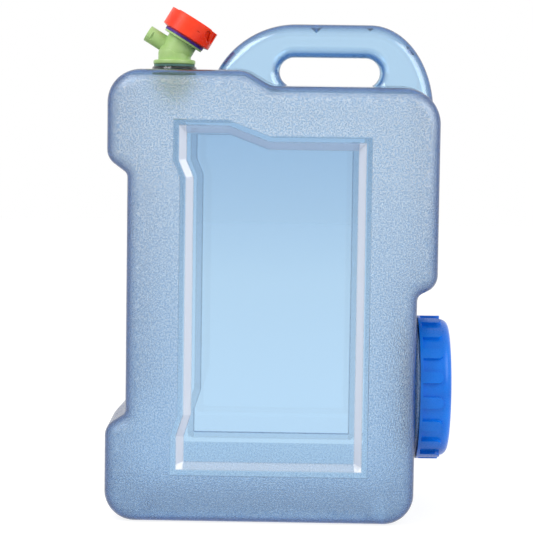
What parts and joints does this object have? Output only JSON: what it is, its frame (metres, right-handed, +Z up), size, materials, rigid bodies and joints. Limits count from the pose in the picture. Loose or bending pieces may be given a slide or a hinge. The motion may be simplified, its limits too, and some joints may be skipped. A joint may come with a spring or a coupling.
{
  "type": "water jerrycan with tap",
  "caption": "Clear blow-moulded water can with a top handle, recessed panels, a side screw cap and a knob-operated tap on its top.",
  "frame": {"origin": "centre of the base, on the surface that the can stands on", "axes": "+Z up, +X towards the screw cap, +Y away from the viewer, across the can's thickness"},
  "size_m": [0.2956, 0.174, 0.4384],
  "materials": {
    "clear_can": "blow-moulded clear polycarbonate, frosted grain outside the panels",
    "blue_cap": "moulded, satin gloss",
    "pale_seal": "smooth silicone",
    "green_tap": "moulded, satin",
    "dark_rubber": "smooth",
    "violet_ring": "smooth",
    "white_insert": "moulded",
    "red_knob": "moulded, satin gloss"
  },
  "bodies": {
    "can": {"can_body": "clear_can", "tap_body": "green_tap", "tap_outer_gasket": "dark_rubber", "tap_inner_gasket": "dark_rubber", "tap_lock_nut": "green_tap", "bonnet_seal": "violet_ring", "tap_bonnet": "white_insert"},
    "cap_seal": {"filler_cap_seal": "pale_seal"},
    "cap": {"filler_cap": "blue_cap"},
    "washer": {"valve_washer": "dark_rubber"},
    "knob": {"tap_knob": "red_knob", "tap_stem": "white_insert", "stem_o_ring": "dark_rubber"}
  },
  "joints": [
    {"name": "cap_lift", "type": "slide", "parent": "can", "child": "cap_seal", "axis": [1, 0, 0], "range_m": [0, 0.02401]},
    {"name": "cap_turn", "type": "hinge", "parent": "cap_seal", "child": "cap", "pos_m": [0, 0, 0.1077], "axis": [1, 0, 0], "range_deg": [0, 1080]},
    {"name": "valve_lift", "type": "slide", "parent": "can", "child": "washer", "axis": [0.5225, 0, 0.8526], "range_m": [0, 0.00451]},
    {"name": "knob_turn", "type": "hinge", "parent": "washer", "child": "knob", "pos_m": [-0.09575, 0, 0.3972], "axis": [0.5225, 0, 0.8526], "range_deg": [0, 540]}
  ],
  "couplings": [
    {"joint": "cap_lift", "follows": "cap_turn", "m_per_rad": 0.0012732},
    {"joint": "valve_lift", "follows": "knob_turn", "m_per_rad": 0.00047746}
  ]
}
